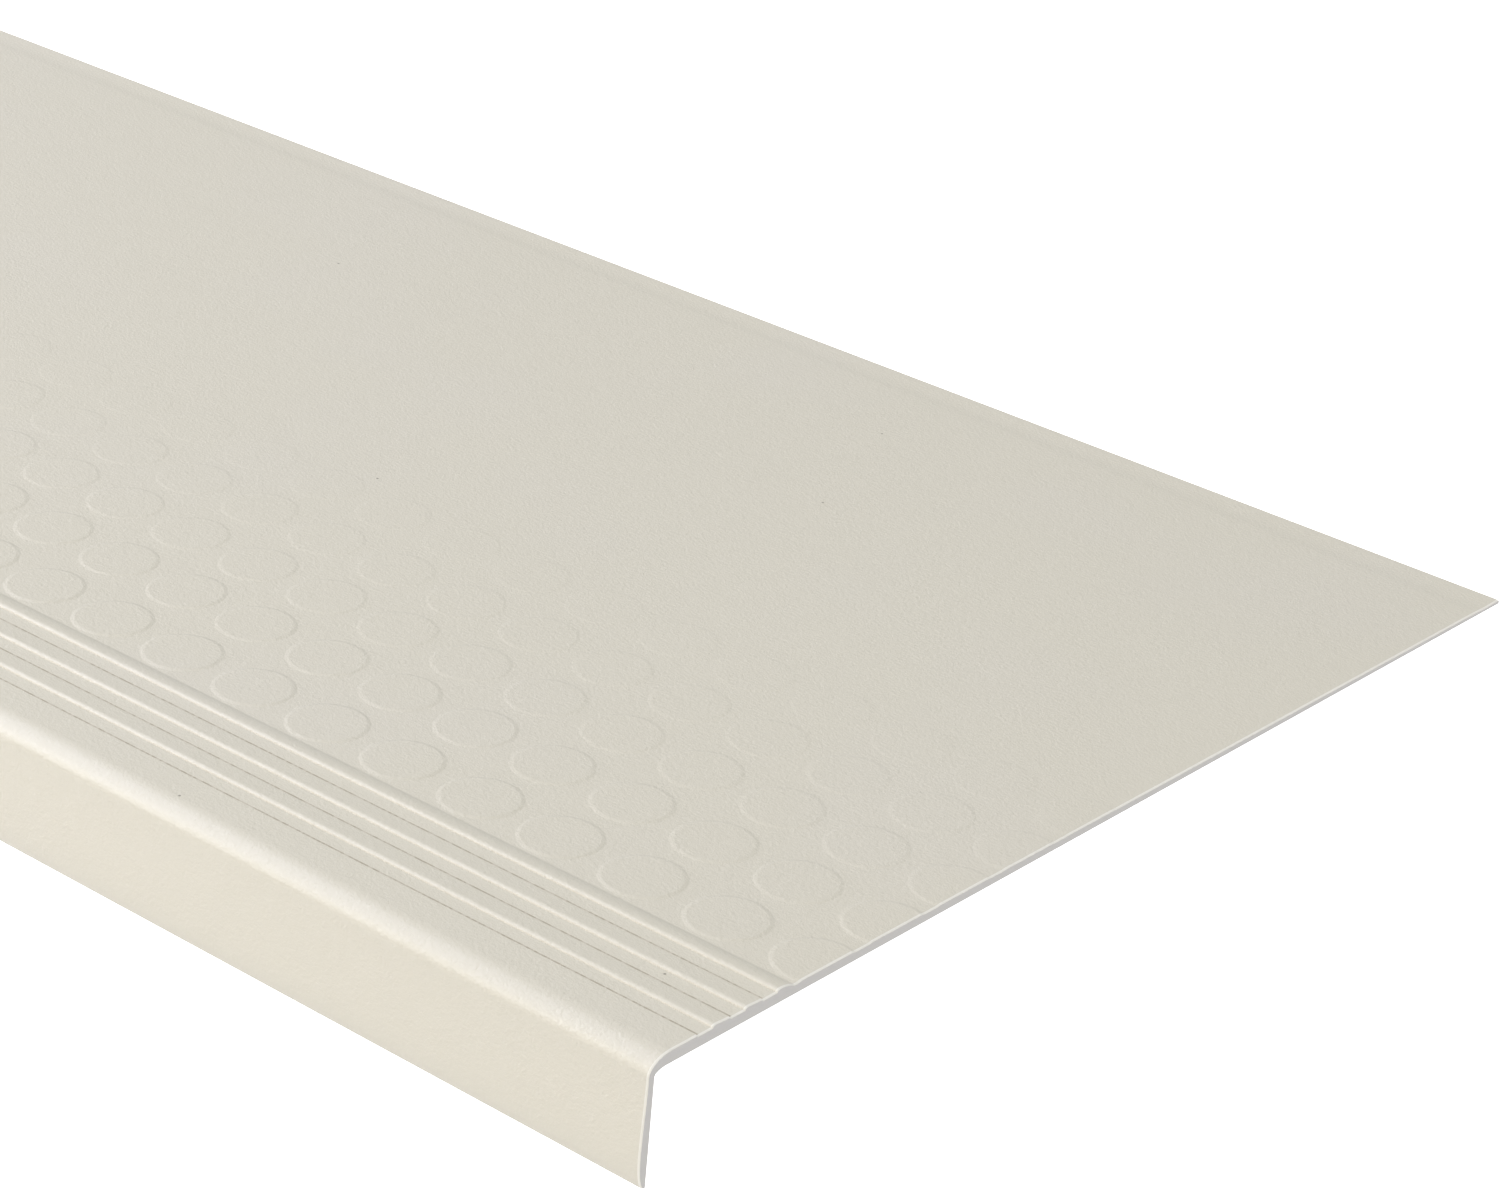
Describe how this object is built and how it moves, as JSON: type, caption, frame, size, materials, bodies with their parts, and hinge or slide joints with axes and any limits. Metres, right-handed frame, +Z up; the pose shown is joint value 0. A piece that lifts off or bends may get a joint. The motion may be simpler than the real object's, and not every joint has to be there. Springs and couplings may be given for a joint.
{
  "type": "anti slip stair tread mat",
  "caption": "Moulded anti slip stair tread mat with a rounded nose, a hanging lip, low ribs behind the nose, rows of low round studs and a plain back.",
  "frame": {"origin": "middle of the flat underside, between the lip's inner face and the back edge, which is the face that is glued to the step", "axes": "+X along the step to the right-hand end, +Y from the nose to the back edge, +Z up out of the step"},
  "size_m": [0.9144, 0.3116, 0.0289],
  "materials": {
    "cream_vinyl": "satin, fine moulded grain"
  },
  "bodies": {
    "root": {"stair_tread": "cream_vinyl"}
  },
  "joints": []
}
